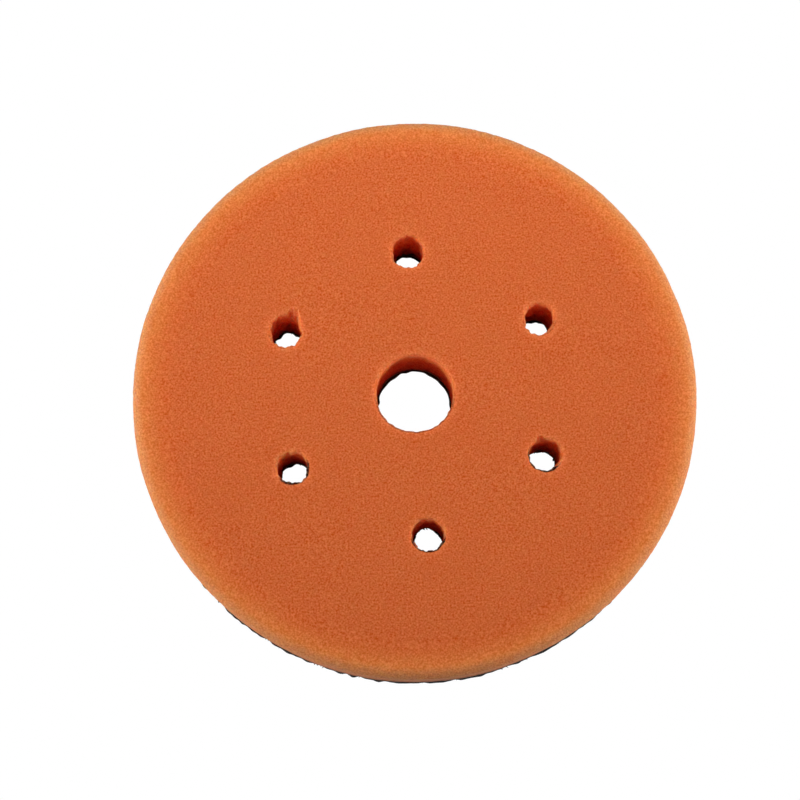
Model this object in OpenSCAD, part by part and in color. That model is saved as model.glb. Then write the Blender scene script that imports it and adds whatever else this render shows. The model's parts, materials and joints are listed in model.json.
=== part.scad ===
// Round foam polishing pad for a random orbital polisher: one disc of open-cell
// foam on a hook-and-loop backing, with a centre hole and a ring of vent holes
// that run straight through every layer.
//
// The pad lies with its loops down. The origin is the middle of the loop face,
// +Z runs out through the working face, and one vent hole lies on +Y.
// All sizes are in millimetres.

/* [Foam disc] */
// Diameter of the pad
pad_d = 158; // [130:1:200]
// Thickness of the foam
foam_t = 22.7; // [14:0.1:40]
// Radius that rounds the rim of the working face
rim_r = 4.3; // [1:0.1:8]
// Radius that rounds the mouth of each hole in the working face
mouth_r = 0.8; // [0.2:0.1:2]

/* [Holes] */
// Diameter of the centre hole
centre_d = 21.7; // [12:0.1:32]
// Diameter of each vent hole
vent_d = 8.7; // [5:0.1:14]
// Diameter of the circle through the middles of the vent holes
vent_pcd = 80; // [62:1:100]
// Number of vent holes
vent_count = 6; // [3:1:9]

/* [Backing] */
// Thickness of the hot-melt film that bonds the cloth to the foam
film_t = 0.2; // [0.1:0.05:0.5]
// Thickness of the ground cloth that carries the loops
cloth_t = 0.6; // [0.3:0.1:1.5]
// Height of the pile of loops
pile_t = 1.5; // [0.8:0.1:3]

/* [Hidden] */

// Heights of the layers, counted up from the loop face
cloth_z = pile_t;
film_z = cloth_z + cloth_t;
foam_z = film_z + film_t;
face_z = foam_z + foam_t;

// Angle of the first vent hole, which puts it on +Y
vent_start = 90;
// How far a cutting tool runs past the face that it leaves
overrun = 1;
// Steps in the quarter round of the rim and of a hole's mouth
rim_steps = 12;
mouth_steps = 6;
$fn = 96;

// Points of a quarter circle about [x, z], from angle a to angle b
function arc(x, z, r, a, b, steps) =
    [for (i = [0 : steps]) let (t = a + (b - a) * i / steps) [x + r * cos(t), z + r * sin(t)]];

// Places its children on the centre line of every vent hole
module at_vents() {
    for (i = [0 : vent_count - 1])
        rotate([0, 0, vent_start + 360 / vent_count * i])
            translate([vent_pcd / 2, 0, 0])
                children();
}

// Carries the last step of a path on to twice its length, so that a cutter
// crosses the face where the path ended and doesn't stop on it
function run_out(path) = let (n = len(path) - 1)
    [for (i = [0 : n]) i < n ? path[i] : 2 * path[n] - path[n - 1]];

// Cutter for one hole in the foam: straight, then flared in a quarter round
// that reaches the working face
module foam_hole(d) {
    mouth = run_out(arc(d / 2 + mouth_r, face_z - mouth_r, mouth_r, 180, 90, mouth_steps));
    rotate_extrude()
        polygon(concat(
            [[0, foam_z - overrun], [d / 2, foam_z - overrun]],
            mouth,
            [[mouth[mouth_steps].x, face_z + overrun], [0, face_z + overrun]]
        ));
}

// One flat layer of the backing, from height z up by t, with every hole in it
module backing_layer(z, t) {
    translate([0, 0, z])
        difference() {
            cylinder(d = pad_d, h = t);
            translate([0, 0, -overrun])
                cylinder(d = centre_d, h = t + 2 * overrun);
            at_vents()
                translate([0, 0, -overrun])
                    cylinder(d = vent_d, h = t + 2 * overrun);
        }
}

// Open-cell foam that does the polishing, with its rim rounded at the top
module foam_disc() {
    color("#d2693a")
        difference() {
            rotate_extrude()
                polygon(concat(
                    [[0, foam_z], [pad_d / 2, foam_z]],
                    arc(pad_d / 2 - rim_r, face_z - rim_r, rim_r, 0, 90, rim_steps),
                    [[0, face_z]]
                ));
            foam_hole(centre_d);
            at_vents() foam_hole(vent_d);
        }
}

// Hot-melt adhesive film between the foam and the cloth
module hot_melt_film() {
    color("#6b5a48") backing_layer(film_z, film_t);
}

// Knitted ground that holds the feet of the loops
module loop_ground_cloth() {
    color("#1d1c1c") backing_layer(cloth_z, cloth_t);
}

// Pile of loops that grips the hooks of a backing plate, and rests on the floor
module loop_pile() {
    color("#121212") backing_layer(0, pile_t);
}

foam_disc();
hot_melt_film();
loop_ground_cloth();
loop_pile();
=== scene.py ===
"""Looks of a round foam polishing pad: open-cell foam bonded to a black loop backing.

The pad lies with its loops down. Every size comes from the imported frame. A centre hole and
a ring of vents sit on a lattice of hexagons, so each layer is worked out as rings of points
that widen from a hole to its hexagon, and from the block of hexagons to the rim.
"""
import json
import math

import bmesh
import bpy
import numpy as np
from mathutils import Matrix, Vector


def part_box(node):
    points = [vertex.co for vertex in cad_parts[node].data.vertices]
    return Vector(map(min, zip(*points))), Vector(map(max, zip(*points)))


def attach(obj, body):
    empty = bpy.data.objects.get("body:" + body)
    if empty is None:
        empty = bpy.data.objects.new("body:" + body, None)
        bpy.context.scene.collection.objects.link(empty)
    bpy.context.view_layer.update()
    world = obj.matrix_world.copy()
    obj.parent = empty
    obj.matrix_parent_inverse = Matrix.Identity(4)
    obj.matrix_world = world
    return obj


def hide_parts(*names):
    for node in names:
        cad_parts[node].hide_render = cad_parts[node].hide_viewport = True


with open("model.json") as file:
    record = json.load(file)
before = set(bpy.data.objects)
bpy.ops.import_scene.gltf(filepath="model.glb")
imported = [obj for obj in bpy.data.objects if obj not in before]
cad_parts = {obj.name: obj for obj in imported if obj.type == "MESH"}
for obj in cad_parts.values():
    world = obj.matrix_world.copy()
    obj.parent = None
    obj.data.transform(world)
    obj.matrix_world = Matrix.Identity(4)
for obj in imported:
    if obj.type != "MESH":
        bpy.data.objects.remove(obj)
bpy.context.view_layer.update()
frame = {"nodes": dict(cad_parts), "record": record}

MM = 0.001


# ---------------------------------------------------------------- sizes from the frame

def mount(name):
    """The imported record's mount of that name."""
    return next(m for m in frame["record"]["mounts"] if m["name"] == name)


def flat_reach(node, z):
    """How far from the axis the flat top of a node at height z reaches, in metres."""
    mesh = frame["nodes"][node].data
    co = np.zeros(len(mesh.vertices) * 3)
    mesh.vertices.foreach_get("co", co)
    co = co.reshape(-1, 3)
    top = co[np.abs(co[:, 2] - z) < 0.001 * MM]
    return float(np.hypot(top[:, 0], top[:, 1]).max())


PAD_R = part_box("foam_disc")[1].x
FACE_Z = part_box("foam_disc")[1].z
FOAM_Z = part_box("foam_disc")[0].z
FILM_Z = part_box("hot_melt_film")[0].z
CLOTH_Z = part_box("loop_ground_cloth")[0].z
RIM_R = PAD_R - flat_reach("foam_disc", FACE_Z)
CENTRE_R = mount("centre_bore")["dims"]["r_mm"] * MM
MOUTH_R = FACE_Z - mount("centre_bore")["dims"]["length_mm"] * MM
VENT_R = mount("vent_holes")["dims"]["hole_r_mm"] * MM
VENT_COUNT = mount("vent_holes")["dims"]["count"]
PITCH = mount("vent_holes")["dims"]["pcd_mm"] * MM / 2
VENT_START = math.radians(90)      # the first vent lies on +Y

VENT_ANGLES = VENT_START + np.arange(VENT_COUNT) * 2 * np.pi / VENT_COUNT
VENT_CENTRES = PITCH * np.stack([np.cos(VENT_ANGLES), np.sin(VENT_ANGLES)], 1)
HOLES = [(np.zeros(2), CENTRE_R)] + [(centre, VENT_R) for centre in VENT_CENTRES]
SIDES = 6                          # of a hexagon cell
CORNER_R = PITCH / (2 * math.cos(math.pi / SIDES))

FOAM_STEP = 0.44 * MM      # spacing of the foam's points, fine enough to carry its relief
FOAM_PER_SIDE = 56         # points along a hexagon's side, about FOAM_STEP apart
FLAT_STEP = 0.2            # share of the way across a flat hidden face from ring to ring
CELL_SIZE = 1.0 * MM       # relief cells: a few real 0.5 mm cells joined, so that they show
CELL_DEPTH = 0.08 * MM     # how far the middle of a relief cell sinks
RIM_POWER = 2.6            # 2 would round the rim as a quarter circle; soft foam stays fuller


# ---------------------------------------------------------------- colour

def linear(colour):
    """Linear red, green, blue and full alpha of an sRGB hex colour such as #d2693a."""
    parts = [int(colour[i:i + 2], 16) / 255 for i in (1, 3, 5)]
    return [c / 12.92 if c <= 0.04045 else ((c + 0.055) / 1.055) ** 2.4 for c in parts] + [1]


def ramp(value, stops):
    """Linear colours (n, 3) for values (n,), straight between (value, sRGB hex) stops."""
    at = [v for v, _ in stops]
    colours = np.array([linear(c)[:3] for _, c in stops])
    return np.stack([np.interp(value, at, colours[:, c]) for c in range(3)], 1)


def mixed(tone, colour, share):
    """Colours (n, 3) taken towards one sRGB hex colour by each point's share (n,)."""
    return tone + (np.array(linear(colour)[:3]) - tone) * share[:, None]


# ---------------------------------------------------------------- noise

def lattice_random(cell, seed):
    """A repeatable number from 0 to 1 for each whole-number cell (n, 3)."""
    c = cell.astype(np.int64).astype(np.uint32)
    h = c[:, 0] * np.uint32(73856093) ^ c[:, 1] * np.uint32(19349663) ^ c[:, 2] * np.uint32(83492791)
    h = (h + np.uint32(seed * 7919)) * np.uint32(2654435761)
    h ^= h >> np.uint32(15)
    h *= np.uint32(2246822519)
    h ^= h >> np.uint32(13)
    h *= np.uint32(3266489917)
    h ^= h >> np.uint32(16)
    return h / 4294967295.0


def smooth_noise(points, size, seed):
    """Smooth noise from -1 to 1 with bumps about size wide: random values at the corners of
    a cubic lattice, eased across each cell by 3t^2 - 2t^3."""
    p = points / size
    low = np.floor(p)
    t = p - low
    t = t * t * (3 - 2 * t)
    total = np.zeros(len(p))
    for corner in np.ndindex(2, 2, 2):
        c = np.array(corner)
        weight = np.prod(np.where(c, t, 1 - t), axis=1)
        total += weight * lattice_random(low + c, seed)
    return 2 * total - 1


def cell_hollows(points, size, seed):
    """How deep each point lies in a foam cell, from 0 on a cell wall to about 1 mid-cell:
    the gap between the distances to the nearest and second nearest of scattered cell
    centres, one centre in each cube of the given size."""
    p = points / size
    low = np.floor(p)
    near = np.full(len(p), 9.0)
    second = np.full(len(p), 9.0)
    for step in np.ndindex(3, 3, 3):
        cube = low + np.array(step) - 1
        spot = np.stack([lattice_random(cube, seed + axis) for axis in range(3)], 1)
        gap = np.linalg.norm(cube + spot - p, axis=1)
        second = np.minimum(second, np.maximum(near, gap))
        near = np.minimum(near, gap)
    return np.clip((second - near) * 1.6, 0, 1)


# ---------------------------------------------------------------- rings and skins

def corner_points(centre, turn):
    """A hexagon cell's corners at the angles turn (n,), in radians, about its centre."""
    return centre + CORNER_R * np.stack([np.cos(turn), np.sin(turn)], 1)


def along_sides(corners, per_side):
    """Points along the straight sides between corners in turn, per_side on each, evenly
    from its first corner and without the last corner of all."""
    t = np.arange(per_side)[None, :, None] / per_side
    return (corners[:-1, None] * (1 - t) + corners[1:, None] * t).reshape(-1, 2)


def hexagon_edge(centre, per_side):
    """Points round a hexagon cell, from a corner on +X."""
    turn = np.arange(SIDES + 1) * 2 * np.pi / SIDES
    return along_sides(corner_points(centre, turn), per_side)


def block_edge(per_side):
    """Points round the outside of the block of hexagons: three sides of each vent's cell."""
    outer = np.radians([-90, -30, 30, 90])
    return np.concatenate([along_sides(corner_points(centre, angle + outer), per_side)
                           for angle, centre in zip(VENT_ANGLES, VENT_CENTRES)])


def ring(xy, z, outward, lean):
    """One ring of surface points (n, 6): place, then the normal, which leans from outward
    (n, 2), at 0, up to +Z, at a quarter turn."""
    n = len(xy)
    height = np.full((n, 1), z)
    return np.hstack([xy, height, outward * math.cos(lean), np.full((n, 1), math.sin(lean))])


def columns_at(radius, full, step):
    """Columns in a ring: full, halved while the points stay within step of each other."""
    columns = full
    while columns % 2 == 0 and 2 * np.pi * radius / (columns // 2) <= step:
        columns //= 2
    return columns


def skin(rings):
    """Vertices and faces of a closed band through rings in turn. Rings have as many columns
    as the one before (quads), twice as many or half as many (three triangles a column)."""
    start = np.cumsum([0] + [len(r) for r in rings])
    faces = []
    for a, b, a0, b0 in zip(rings, rings[1:], start, start[1:]):
        m, n = len(a), len(b)
        j = np.arange(min(m, n))
        k = (j + 1) % len(j)
        if m == n:
            faces.append(np.stack([a0 + j, b0 + j, b0 + k, a0 + k], 1))
        elif n == 2 * m:
            left, mid, right = b0 + 2 * j, b0 + 2 * j + 1, b0 + 2 * k
            faces.append(np.stack([a0 + j, left, mid], 1))
            faces.append(np.stack([a0 + j, mid, a0 + k], 1))
            faces.append(np.stack([a0 + k, mid, right], 1))
        else:
            left, mid, right = a0 + 2 * j, a0 + 2 * j + 1, a0 + 2 * k
            faces.append(np.stack([left, b0 + j, mid], 1))
            faces.append(np.stack([mid, b0 + j, b0 + k], 1))
            faces.append(np.stack([mid, b0 + k, right], 1))
    return np.concatenate(rings), faces


def spaced(start, stop, step):
    """Even values from start to stop, both included, no further apart than step."""
    return np.linspace(start, stop, max(1, math.ceil(abs(stop - start) / step)) + 1)


def hole_rings(centre, radius, low, high, mouth, per_side, step):
    """Rings from the edge of a hole's hexagon in across the underside, up the hole's wall,
    round its mouth and out across the top to the hexagon again. A ring is a blend of the
    hole's circle (t = 0) and the hexagon (t = 1)."""
    full = SIDES * per_side
    hexagon = hexagon_edge(centre, per_side)
    reach = np.linalg.norm(hexagon - centre, axis=1)
    towards = (hexagon - centre) / reach[:, None]

    def blend(r, t, z, lean):
        """The ring at share t of the way from a circle of radius r out to the hexagon."""
        middle = r * (1 - t) + reach.mean() * t
        skip = full // (full if t == 1 else columns_at(middle, full, step))
        out = towards[::skip]
        xy = (centre + r * out) * (1 - t) + hexagon[::skip] * t
        return ring(xy, z, -out, lean)

    down, up = -np.pi / 2, np.pi / 2
    open_r = radius + mouth
    across = step / (reach.mean() - open_r) if mouth else FLAT_STEP
    under = [blend(radius, t, low, down) for t in spaced(1, 0, FLAT_STEP)[:-1]]
    wall = [blend(radius, 0, z, 0) for z in spaced(low, high - mouth, step)]
    turns = spaced(0, up, step / mouth / 2)[1:-1] if mouth else []
    lip = [blend(open_r - mouth * math.cos(a), 0, high - mouth * (1 - math.sin(a)), a) for a in turns]
    top = [blend(open_r, t, high, up) for t in spaced(0, 1, across)]
    return under + wall + lip + (top if mouth else top[1:])


def rim_rings(radius, low, high, rounding, per_side, step):
    """Rings from the edge of the block of hexagons out across the top, round the rim, down
    the side and in again across the underside. The rounding is a quarter of a superellipse,
    x^n + z^n = 1 with n = RIM_POWER, a little fuller than a circle."""
    block = block_edge(per_side)
    out = block / np.linalg.norm(block, axis=1)[:, None]
    flat_r = radius - rounding

    def blend(r, t, z, lean):
        """The ring at share t of the way from the block out to a circle of radius r."""
        return ring(block * (1 - t) + out * r * t, z, out, lean)

    def rounded(a):
        """The ring on the rounding, from a = 0 at the side to a quarter turn at the top."""
        c, s = math.cos(a) ** (2 / RIM_POWER), math.sin(a) ** (2 / RIM_POWER)
        lean = math.atan2(s ** (RIM_POWER - 1), c ** (RIM_POWER - 1))
        return blend(flat_r + rounding * c, 1, high - rounding * (1 - s), lean)

    up, down = np.pi / 2, -np.pi / 2
    across = step / (flat_r - np.linalg.norm(block, axis=1).min()) if rounding else FLAT_STEP
    top = [blend(flat_r, t, high, up) for t in spaced(0, 1, across)]
    curve = [rounded(a) for a in spaced(up, 0, step / rounding)[1:-1]] if rounding else []
    side = [blend(radius, 1, z, 0) for z in spaced(high - rounding, low, step)]
    under = [blend(radius, t, low, down) for t in spaced(1, 0, FLAT_STEP)[1:]]
    return (top if rounding else top[:-1]) + curve + side + under


def pad_layer(name, radius, low, high, rounding, mouth, per_side, step, shape):
    """One layer of the pad as a closed mesh with all its holes. shape(points, normals)
    gives the final points and a dict of values to keep on them."""
    patches = [skin(rim_rings(radius, low, high, rounding, per_side, step))]
    patches += [skin(hole_rings(c, r, low, high, mouth, per_side, step)) for c, r in HOLES]
    start = np.cumsum([0] + [len(v) for v, _ in patches])
    surface = np.concatenate([v for v, _ in patches])
    faces = [f + s for (_, group), s in zip(patches, start) for f in group]
    points, kept = shape(surface[:, :3], surface[:, 3:])
    return mesh_piece(name, points, faces, kept)


def mesh_piece(name, points, faces, kept=None, weld=0.001 * MM):
    """A smooth-shaded object from points (n, 3) and arrays of faces, with seams welded and
    kept, a dict of linear colours (n, 3), stored as colour attributes."""
    mesh = bpy.data.meshes.new(name)
    mesh.from_pydata(points.tolist(), [], [f for group in faces for f in group.tolist()])
    for key, values in (kept or {}).items():
        slot = mesh.attributes.new(key, "FLOAT_COLOR", "POINT")
        opaque = np.hstack([values, np.ones((len(values), 1))])
        slot.data.foreach_set("color", opaque.astype(np.float32).ravel())
    if weld:
        work = bmesh.new()
        work.from_mesh(mesh)
        bmesh.ops.remove_doubles(work, verts=work.verts, dist=weld)
        work.to_mesh(mesh)
        work.free()
    mesh.polygons.foreach_set("use_smooth", [True] * len(mesh.polygons))
    piece = bpy.data.objects.new(name, mesh)
    bpy.context.scene.collection.objects.link(piece)
    return piece


# ---------------------------------------------------------------- as it was cut

# How far each vent wandered from its place when the soft layers crept under the die, in mm
VENT_DRIFT = np.array([(0.26, 0.48), (-0.62, -0.48), (-0.44, 0.84),
                       (1.47, 0.17), (0.55, 0.67), (1.32, -0.89)])

# Tears at the holes' mouths: hole (0 is the centre one), direction in degrees, then in mm
# how far to the left of the hole's middle the tear lies, how far from it the tear ends, its
# half width and its depth
TEARS = [
    (2, 90, -2.75, 6.3, 1.6, 2.6),
    (5, 90, 1.2, 5.3, 1.0, 1.8),
]

# Black bands just inside the holes' lips: hole, direction of the dark side in degrees, amount
LIP_DARK_BANDS = [
    (0, 270, 0.6), (1, 270, 0.3), (2, 270, 0.3), (6, 270, 0.3),
    (3, 300, 0.95), (4, 270, 0.95), (5, 240, 0.95),
]


def ease(value, low, high):
    """0 below low, 1 above high and 3t^2 - 2t^3 between."""
    t = np.clip((value - low) / (high - low), 0, 1)
    return t * t * (3 - 2 * t)


def heading(degrees):
    """The unit vector (2,) at an angle from +X, counter-clockwise."""
    return np.array([math.cos(math.radians(degrees)), math.sin(math.radians(degrees))])


def hole_gaps(points):
    """How far each point lies outside the wall of every hole (n, holes), in metres."""
    return np.stack([np.linalg.norm(points[:, :2] - c, axis=1) - r for c, r in HOLES], 1)


def drifted(points):
    """Moves each vent whole by its drift, which dies away from 3 to 14 mm outside its wall."""
    moved = points.copy()
    for gap, drift in zip(hole_gaps(points).T[1:], VENT_DRIFT * MM):
        moved[:, :2] += (1 - ease(gap, 3 * MM, 14 * MM))[:, None] * drift
    return moved


def torn(points):
    """Carries the mouth of a torn hole out along the tear's direction to the straight end of
    the tear. The push dies away as exp(-x^6) to either side, as exp(-x^2) with depth, and
    evenly to nothing 3 mm past the end."""
    moved = points.copy()
    for hole, turn, left, end, wide, deep in TEARS:
        centre, radius = HOLES[hole]
        along = heading(turn)
        across = np.array([-along[1], along[0]])
        rel = points[:, :2] - centre
        edge = np.sqrt(np.maximum(radius ** 2 - (rel @ across) ** 2, 0))
        past = np.clip((rel @ along - edge) / ((end + 3) * MM - edge), 0, 1)
        b = (rel @ across - left * MM) / (wide * MM)
        d = (FACE_Z - points[:, 2]) / (deep * MM)
        push = (end * MM - edge) * (1 - past) * np.exp(-b ** 6 - d ** 2)
        moved[:, :2] += (push * ease(rel @ along, 0, 0.3 * radius))[:, None] * along
    return moved


def cut_wander(points):
    """How far the die's cut strays outwards at each point: slow noise of 0.13 mm with bumps
    13 mm wide, and four times as long up the cut."""
    return 0.13 * MM * smooth_noise(points * [1, 1, 0.25], 13 * MM, 11)


def foam_shape(points, normals):
    """Cut foam. The cut wanders by slow noise along the surface's normal, walls and edges
    are ragged by faster noise where open cells were cut through (less in the centre hole),
    each cell hollow sinks a little, and the face sags slightly towards the rim."""
    gaps = hole_gaps(points)
    wall = 1 - ease(gaps.min(1), 0.2 * MM, 1.5 * MM)
    radius = np.hypot(points[:, 0], points[:, 1])
    side = ease(radius, PAD_R - 3 * MM, PAD_R - 1 * MM)
    ragged = 0.5 * MM * smooth_noise(points * [1, 1, 0.4], 1.9 * MM, 21)
    ragged += 0.38 * MM * smooth_noise(points * [1, 1, 0.6], 0.85 * MM, 22)
    ragged *= 0.4 + 0.6 * ease(gaps[:, 0], 1 * MM, 4 * MM)
    hollow = cell_hollows(points, CELL_SIZE, 3)
    lift = cut_wander(points) + ragged * (0.05 + 0.95 * wall + 0.08 * side)
    lift -= CELL_DEPTH * (hollow - 0.4)
    lift[normals[:, 2] < -0.5] = 0
    moved = torn(points + normals * lift[:, None])
    sag = ease(radius, PAD_R - 14 * MM, PAD_R - 3 * MM)
    sag *= 1 - ease(FACE_Z - points[:, 2], 1 * MM, 12 * MM)
    moved[:, 2] -= 0.8 * MM * sag
    return drifted(moved), {"tone": foam_tone(points, gaps, radius)}


def foam_tone(points, gaps, radius):
    """Linear base colour of the foam at each point: the face, a rim made brighter and paler by a
    painted highlight, a side darkened towards the backing by painted shade, a pale halo round
    each mouth, hole walls painted brighter and redder near the mouth as a glow and then darker
    with depth as painted shade, the bare foam of the tears, and a black band just inside some holes'
    lips."""
    depth = FACE_Z - points[:, 2]
    # Painted highlight: from 12 mm inside the rim outwards the tone grows brighter, and in the last
    # 2.5 mm paler, standing in for light the rim catches from the side lamps and for sheen at its
    # edge.
    out = (PAD_R - radius) / MM
    tone = ramp(out, [(0, "#c67b50"), (0.6, "#c78152"), (1.6, "#ca824e"), (2.4, "#cf8047"),
                      (3.3, "#d47c3e"), (4.3, "#d5793d"), (5.5, "#d27439"), (7, "#d06d34"),
                      (9, "#ce6933"), (12, "#cb6733")])
    # Painted shade: the side wall darkens towards the backing, from 7 mm below the face down to 22.5
    # mm.
    low = ramp(depth / MM, [(7, "#ca6e40"), (16, "#bb6038"), (22.5, "#82462c")])
    side = ease(radius, PAD_R - 3 * MM, PAD_R - 1 * MM) * ease(depth, 1.5 * MM, 9 * MM)
    tone += (low - tone) * side[:, None]
    near = gaps.min(1)
    tone = mixed(tone, "#dd8a58", 0.3 * (1 - ease(near, 0, 2.5 * MM)) * (1 - ease(depth, 0, 0.6 * MM)))
    inside = 1 - ease(near, 0, 0.5 * MM)
    # Painted light and shade: near the mouth the hole walls are brighter and redder than the face, a
    # painted glow of light through the foam, and between 20 and 22.5 mm down they darken to near
    # black, painted shade.
    wall = ramp(depth / MM, [(1, "#ec7840"), (5, "#f4783a"), (9, "#ee6026"), (14, "#ea561f"),
                              (20, "#d64a1a"), (22.5, "#701205")])
    tone += (wall - tone) * (inside * ease(depth, 0.2 * MM, 1 * MM))[:, None]
    tear = np.linalg.norm(torn(points) - points, axis=1) / (1.5 * MM)
    tone = mixed(tone, "#d06030", 0.3 * ease(tear, 0, 1))
    # Darkens a band just inside some holes' mouths towards black, on the side that each listed
    # direction gives.
    return mixed(tone, "#0d0706", lip_dark_band(points, depth))


def lip_dark_band(points, depth):
    """How dark a black band makes each point: most just inside a listed hole's mouth, on the
    side that its direction gives, and none 5 mm down."""
    band_darkness = np.zeros(len(points))
    for hole, turn, amount in LIP_DARK_BANDS:
        centre, radius = HOLES[hole]
        rel = points[:, :2] - centre
        near = 1 - ease(np.linalg.norm(rel, axis=1) - radius, 0.45 * MM, 0.75 * MM)
        band_darkness += amount * near * ease(rel @ heading(turn) / radius, -0.15, 0.4)
    return band_darkness * ease(depth, 0.01 * MM, 0.07 * MM) * (1 - ease(depth, 0.8 * MM, 5 * MM))


def backing_shape(raggedness, size, seed):
    """A shape for a thin layer: its cut edges wander and are ragged by noise of that size.
    They stand furthest out in the centre hole."""
    def shape(points, normals):
        """The layer's points, moved, and nothing to keep on them."""
        flat = np.abs(normals[:, 2]) > 0.5
        radius = np.hypot(points[:, 0], points[:, 1])
        noise = smooth_noise(points, size, seed)
        edge = raggedness * np.where(radius > PAD_R - 1 * MM, 0.5 * noise + 0.4, noise + 0.35)
        edge = np.where(radius < CENTRE_R + 1 * MM, raggedness * (0.5 * noise + 0.8), edge)
        edge = np.where(flat, 0, edge)
        edge += np.where(flat, 0, cut_wander(points))
        return drifted(points + normals * edge[:, None]), {}
    return shape


# ---------------------------------------------------------------- yarn

def yarns(name, paths, flat, radius):
    """Tubes of three sides along many paths (n, k, 3) at once. Round every inner point of a
    path stand three points a third of a turn apart, square to the path and measured from
    flat (n, 3), and the first and last points close the tube to a tip."""
    n, k, _ = paths.shape
    along = np.gradient(paths, axis=1)[:, 1:-1]
    along /= np.linalg.norm(along, axis=2, keepdims=True)
    up = np.cross(along, flat[:, None])
    up /= np.linalg.norm(up, axis=2, keepdims=True)
    over = np.cross(up, along)
    turn = np.arange(3) * 2 * np.pi / 3
    spread = over[:, :, None] * np.cos(turn)[:, None] + up[:, :, None] * np.sin(turn)[:, None]
    rings = paths[:, 1:-1, None] + spread * radius[:, None, None, None]
    points = np.concatenate([paths[:, :1], rings.reshape(n, -1, 3), paths[:, -1:]], 1)
    j = np.arange(3)
    k1 = (j + 1) % 3
    last = 1 + 3 * (k - 3)
    tips = np.concatenate([np.stack([0 * j, 1 + k1, 1 + j], 1),
                           np.stack([last + j, last + k1, 0 * j + last + 3], 1)])
    base = 1 + 3 * np.arange(k - 3)[:, None]
    quads = np.stack([base + j, base + k1, base + 3 + k1, base + 3 + j], 2).reshape(-1, 4)
    shift = (np.arange(n) * points.shape[1])[:, None, None]
    faces = [(tips + shift).reshape(-1, 3), (quads + shift).reshape(-1, 4)]
    return mesh_piece(name, points.reshape(-1, 3), faces, weld=0)


def pile_loops(spacing):
    """Loops of yarn that hang from the ground cloth to the floor. Their places are a
    triangular lattice with each place moved at random, of which every place is filled near
    the rim, where the loops are seen from the side, and a quarter of them further in. A loop
    is the lower half of an ellipse turned at random about the vertical, and it leans."""
    random = np.random.default_rng(7)
    half = int(1.2 * PAD_R / spacing)
    col, row = np.meshgrid(np.arange(-half, half + 1), np.arange(-half, half + 1))
    spots = np.stack([col + 0.5 * (row % 2), row * 0.75 ** 0.5], 2).reshape(-1, 2) * spacing
    sparse = ((col % 2 == 0) & (row % 2 == 0)).ravel()
    spots += random.uniform(-0.5, 0.5, spots.shape) * spacing
    out = np.hypot(*spots.T)
    clear = (hole_gaps(spots).min(1) > 0.5 * MM) & (out < PAD_R - 0.6 * MM)
    spots = spots[clear & (sparse | (out > PAD_R - 3.5 * MM))]
    n = len(spots)
    angle = random.uniform(0, np.pi, n)
    level = np.zeros((n, 1))
    run = np.hstack([np.stack([np.cos(angle), np.sin(angle)], 1), level])
    across = np.hstack([np.stack([-np.sin(angle), np.cos(angle)], 1), level])
    t = np.array([0.0, 0.14, 0.38, 0.62, 0.86, 1.0]) * np.pi
    reach = random.uniform(0.45, 0.75, n) * MM
    drop = random.uniform(0.8, 1.0, n) * (CLOTH_Z - 0.16 * MM)
    lean = random.uniform(-0.7, 0.7, n) * MM
    feet = np.hstack([spots, np.full((n, 1), CLOTH_Z)])
    paths = (feet[:, None] - run[:, None] * (reach[:, None] * np.cos(t))[:, :, None]
             + across[:, None] * (lean[:, None] * np.sin(t))[:, :, None])
    paths[:, :, 2] -= drop[:, None] * np.sin(t)
    paths[:, [0, -1], 2] += 0.2 * MM
    return yarns("loop_pile_yarn", drifted_paths(paths), across, random.uniform(0.14, 0.2, n) * MM)


def frayed_ends(spacing):
    """Cut yarn ends round the cloth's rim and in its holes, about spacing apart: short thick
    stubs that run out of the cut edge, bend sideways as t^2 and droop."""
    random = np.random.default_rng(9)
    starts, outs = [], []
    for centre, radius, sign in [(np.zeros(2), PAD_R, 1)] + [(c, r, -1) for c, r in HOLES]:
        turn = np.arange(0, 2 * np.pi, spacing / radius)
        turn = turn + random.uniform(-0.5, 0.5, len(turn)) * spacing / radius
        out = np.stack([np.cos(turn), np.sin(turn)], 1)
        starts.append(centre + out * (radius - sign * 0.3 * MM))
        outs.append(out * sign)
    starts, outs = np.concatenate(starts), np.concatenate(outs)
    n = len(starts)
    level = np.zeros((n, 1))
    out = np.hstack([outs, level])
    across = np.hstack([outs[:, ::-1] * [-1, 1], level])
    z = random.uniform(CLOTH_Z + 0.1 * MM, FILM_Z - 0.05 * MM, (n, 1))
    t = np.array([0.0, 0.3, 0.6, 1.0])
    length = 0.3 * MM + random.uniform(0.3, 0.8, n) ** 2 * MM
    bend = random.uniform(-0.5, 0.5, n) * MM
    droop = random.uniform(-0.1, 0.5, n) * MM
    paths = (np.hstack([starts, z])[:, None] + out[:, None] * (length[:, None] * t)[:, :, None]
             + across[:, None] * (bend[:, None] * t ** 2)[:, :, None])
    paths[:, :, 2] -= droop[:, None] * t ** 2
    up = np.tile([0.0, 0.0, 1.0], (n, 1))
    return yarns("frayed_ground_yarn", drifted_paths(paths), up, random.uniform(0.14, 0.26, n) * MM)


def drifted_paths(paths):
    """Paths (n, k, 3) moved with the vents."""
    return drifted(paths.reshape(-1, 3)).reshape(paths.shape)


# ---------------------------------------------------------------- materials

def add(tree, kind, links=None, **settings):
    """A node of that kind with its settings; links maps an input's name or number to a
    value or to another node's output."""
    made = tree.nodes.new(kind)
    for key, value in settings.items():
        setattr(made, key, value)
    for key, value in (links or {}).items():
        if isinstance(value, bpy.types.NodeSocket):
            tree.links.new(value, made.inputs[key])
        else:
            made.inputs[key].default_value = value
    return made


def new_material(name):
    """An empty node material, its tree, and the Object coordinates that its patterns read."""
    material = bpy.data.materials.new(name)
    material.use_nodes = True
    tree = material.node_tree
    tree.nodes.clear()
    return material, tree, add(tree, "ShaderNodeTexCoord").outputs["Object"]


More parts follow.
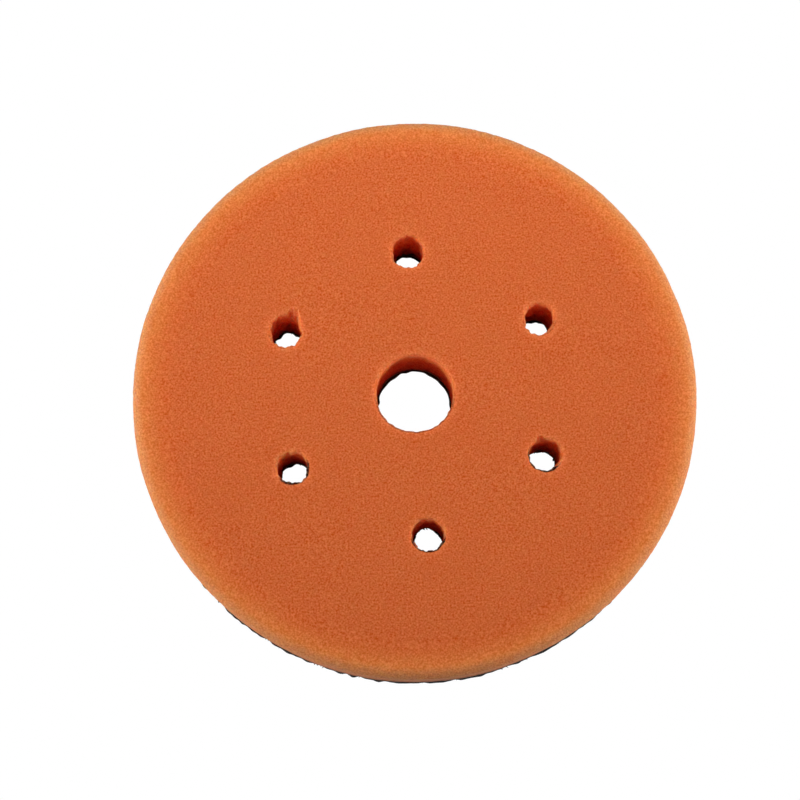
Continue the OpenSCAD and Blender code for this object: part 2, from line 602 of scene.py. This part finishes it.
def show(tree, shader):
    """Ends a material's tree with its surface shader."""
    add(tree, "ShaderNodeOutputMaterial", {"Surface": shader.outputs[0]})


def cut_polyurethane_foam():
    """Open-cell polyurethane foam, cut from a block. It is quite matte, and light soaks
    through its thin cell walls: red light for about 4 mm, green and blue for less, so that
    edges and hole mouths glow. Cut cell walls catch light and open cells hold shade, so that
    a fine pale and dark grain lies over the tone that each point of the piece carries. Real
    cells are 0.3 to 0.5 mm across; the grain is drawn at 0.52 mm so that it shows."""
    material, tree, place = new_material("open_cell_pu_foam_cut")
    # The tone carries painted light: a highlight on the rim, shade down the side and at the foot of
    # the hole walls, and a glow on the hole walls.
    tone = add(tree, "ShaderNodeAttribute", attribute_name="tone").outputs["Color"]
    grain = add(tree, "ShaderNodeTexNoise", {"Vector": place, "Scale": 1 / (0.52 * MM),
                                             "Detail": 1.0, "Roughness": 0.5}).outputs["Fac"]
    cells = add(tree, "ShaderNodeTexVoronoi", {"Vector": place, "Scale": 1 / (0.6 * MM)},
                feature="DISTANCE_TO_EDGE").outputs["Distance"]
    clouds = add(tree, "ShaderNodeTexNoise", {"Vector": place, "Scale": 1 / (7 * MM),
                                              "Detail": 3.0}).outputs["Fac"]
    level = add(tree, "ShaderNodeMath", {0: clouds, 1: 0.06, 2: grain},
                operation="MULTIPLY_ADD").outputs[0]
    speck = add(tree, "ShaderNodeMapRange", {"Value": level, "From Min": 0.28,
                                             "From Max": 0.78, "To Min": -1.0,
                                             "To Max": 1.0}).outputs[0]
    colour = add(tree, "ShaderNodeVectorMath", {0: speck, 1: (0.112, 0.072, 0.033), 2: tone},
                 operation="MULTIPLY_ADD").outputs[0]
    height = add(tree, "ShaderNodeMath", {0: cells, 1: -1.0, 2: grain},
                 operation="MULTIPLY_ADD").outputs[0]
    bump = add(tree, "ShaderNodeBump", {"Height": height, "Strength": 0.2,
                                        "Distance": 0.1 * MM}).outputs[0]
    foam = add(tree, "ShaderNodeBsdfPrincipled",
               {"Base Color": colour, "Roughness": 0.95, "IOR": 1.5,
                "Subsurface Weight": 1.0, "Subsurface Radius": (4.0, 1.6, 0.6),
                "Subsurface Scale": 1.0 * MM, "Specular IOR Level": 0.15,
                "Sheen Weight": 0.1, "Sheen Roughness": 0.35,
                "Sheen Tint": linear("#ffe4d2"), "Normal": bump})
    show(tree, foam)
    return material


def dyed_polyamide_yarn(name, dark, light, roughness):
    """Textured polyamide yarn, dyed black through: dull, with slightly greyer filaments that
    catch the light along it."""
    material, tree, place = new_material(name)
    threads = add(tree, "ShaderNodeTexNoise", {"Vector": place, "Scale": 1 / (0.35 * MM),
                                               "Detail": 2.0})
    mix = add(tree, "ShaderNodeMapRange", {"Value": threads.outputs["Fac"], "From Min": 0.35,
                                           "From Max": 0.7}).outputs[0]
    colour = add(tree, "ShaderNodeMix", {0: mix, 6: linear(dark), 7: linear(light)},
                 data_type="RGBA").outputs[2]
    bump = add(tree, "ShaderNodeBump", {"Height": threads.outputs["Fac"], "Strength": 0.6,
                                        "Distance": 0.05 * MM})
    yarn = add(tree, "ShaderNodeBsdfPrincipled",
               {"Base Color": colour, "Roughness": roughness, "IOR": 1.53,
                "Specular IOR Level": 0.35, "Sheen Weight": 0.08, "Sheen Roughness": 0.4,
                "Normal": bump.outputs[0]})
    show(tree, yarn)
    return material


def melted_copolyamide_film():
    """Hot-melt copolyamide, melted between foam and cloth: brownish amber, half glossy and a
    little lumpy where it squeezed out."""
    material, tree, place = new_material("melted_copolyamide_film")
    lumps = add(tree, "ShaderNodeTexNoise", {"Vector": place, "Scale": 1 / (1.2 * MM),
                                             "Detail": 2.0})
    colour = add(tree, "ShaderNodeMix", {0: lumps.outputs["Fac"], 6: linear("#4b3a2a"),
                                         7: linear("#8a6f52")}, data_type="RGBA").outputs[2]
    bump = add(tree, "ShaderNodeBump", {"Height": lumps.outputs["Fac"], "Strength": 0.5,
                                        "Distance": 0.08 * MM})
    film = add(tree, "ShaderNodeBsdfPrincipled",
               {"Base Color": colour, "Roughness": 0.4, "IOR": 1.52,
                "Normal": bump.outputs[0]})
    show(tree, film)
    return material


# ---------------------------------------------------------------- studio

def studio():
    """A white sweep that shows to the camera alone, a dark table, hidden from the camera,
    that keeps light from coming up through the holes, and soft lights. The sweep's height
    is 0.5 (r - 1.5)^2 outside a flat radius of 1.5 m."""
    steps = np.linspace(-6, 6, 61)
    x, y = np.meshgrid(steps, steps)
    rise = 0.5 * np.maximum(np.hypot(x, y) - 1.5, 0) ** 2
    index = np.arange(x.size).reshape(x.shape)
    corners = [index[:-1, :-1], index[:-1, 1:], index[1:, 1:], index[1:, :-1]]
    faces = [np.stack(corners, 2).reshape(-1, 4)]
    flat = np.stack([x, y, 0 * x - 0.5 * MM], 2).reshape(-1, 3)
    sweep = mesh_piece("studio_sweep", flat + np.stack([0 * x, 0 * x, rise], 2).reshape(-1, 3),
                       faces, weld=0)
    paper, tree, _ = new_material("white_paper_sweep")
    show(tree, add(tree, "ShaderNodeEmission", {"Color": linear("#ffffff"), "Strength": 1.0}))
    sweep.data.materials.append(paper)
    table = mesh_piece("studio_table", flat, faces, weld=0)
    slate, tree, _ = new_material("dark_table")
    show(tree, add(tree, "ShaderNodeBsdfDiffuse", {"Color": linear("#4a4644")}))
    table.data.materials.append(slate)
    table.visible_camera = False
    for kind in ("diffuse", "glossy", "transmission", "shadow"):
        setattr(sweep, "visible_" + kind, False)

    room = bpy.data.worlds.new("soft_room")
    room.use_nodes = True
    room.node_tree.nodes["Background"].inputs["Color"].default_value = linear("#ffffff")
    room.node_tree.nodes["Background"].inputs["Strength"].default_value = 0.15
    bpy.context.scene.world = room

    for name, place, size, power in [
        ("overhead_softbox", (0.0, -0.10, 0.90), 0.8, 0.45),
        ("back_softbox", (0.0, 0.22, 0.30), 0.2, 0.89),
        ("left_softbox", (-0.42, -0.05, 0.12), 0.2, 1.48),
        ("right_softbox", (0.42, -0.05, 0.12), 0.2, 1.48),
        ("front_softbox", (0.0, -0.80, 0.14), 0.5, 1.5),
    ]:
        lamp = bpy.data.lights.new(name, "AREA")
        lamp.size = size
        lamp.energy = power
        box = bpy.data.objects.new(name, lamp)
        box.location = place
        box.rotation_euler = (-Vector(place)).to_track_quat("-Z", "Y").to_euler()
        bpy.context.scene.collection.objects.link(box)


def camera():
    """Looks down on the working face from just in front of the pad, as from a tall stand."""
    target = Vector((-4.23 * MM, -1.76 * MM, FACE_Z))
    turn, rise, distance = math.radians(-3.15), math.radians(80.35), 568 * MM
    way = Vector((math.sin(turn) * math.cos(rise), -math.cos(turn) * math.cos(rise), math.sin(rise)))
    lens = bpy.data.cameras.new("camera")
    lens.sensor_width = 36
    lens.lens = 91.9
    lens.clip_start = 0.01
    view = bpy.data.objects.new("camera", lens)
    view.location = target + way * distance
    view.rotation_euler = (-way).to_track_quat("-Z", "Y").to_euler()
    bpy.context.scene.collection.objects.link(view)
    bpy.context.scene.camera = view


# ---------------------------------------------------------------- the pad

camera()
studio()
bpy.context.scene.view_settings.view_transform = "Standard"

foam = pad_layer("foam_pad", PAD_R, FOAM_Z, FACE_Z, rounding=RIM_R, mouth=MOUTH_R,
                 per_side=FOAM_PER_SIDE, step=FOAM_STEP, shape=foam_shape)
film = pad_layer("melted_film", PAD_R, FILM_Z, FOAM_Z, rounding=0, mouth=0,
                 per_side=40, step=0.6 * MM, shape=backing_shape(0.06 * MM, 1.5 * MM, 31))
cloth = pad_layer("ground_cloth", PAD_R, CLOTH_Z, FILM_Z, rounding=0, mouth=0,
                  per_side=64, step=0.4 * MM, shape=backing_shape(0.75 * MM, 1.8 * MM, 41))
loops = pile_loops(spacing=0.95 * MM)
frays = frayed_ends(spacing=1.1 * MM)

ground_yarn = dyed_polyamide_yarn("warp_knitted_polyamide_black", "#151110", "#2e2724", 0.8)
pile_yarn = dyed_polyamide_yarn("brushed_polyamide_loop_black", "#0d0d0d", "#262524", 0.6)
for piece, node, slot, material in [
    (foam, "foam_disc", "foam", cut_polyurethane_foam()),
    (film, "hot_melt_film", "hot_melt_film", melted_copolyamide_film()),
    (cloth, "loop_ground_cloth", "ground_cloth", ground_yarn),
    (frays, "loop_ground_cloth", "ground_cloth", ground_yarn),
    (loops, "loop_pile", "loop_pile", pile_yarn),
]:
    piece.data.materials.append(material)
    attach(piece, "root")
    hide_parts(node)
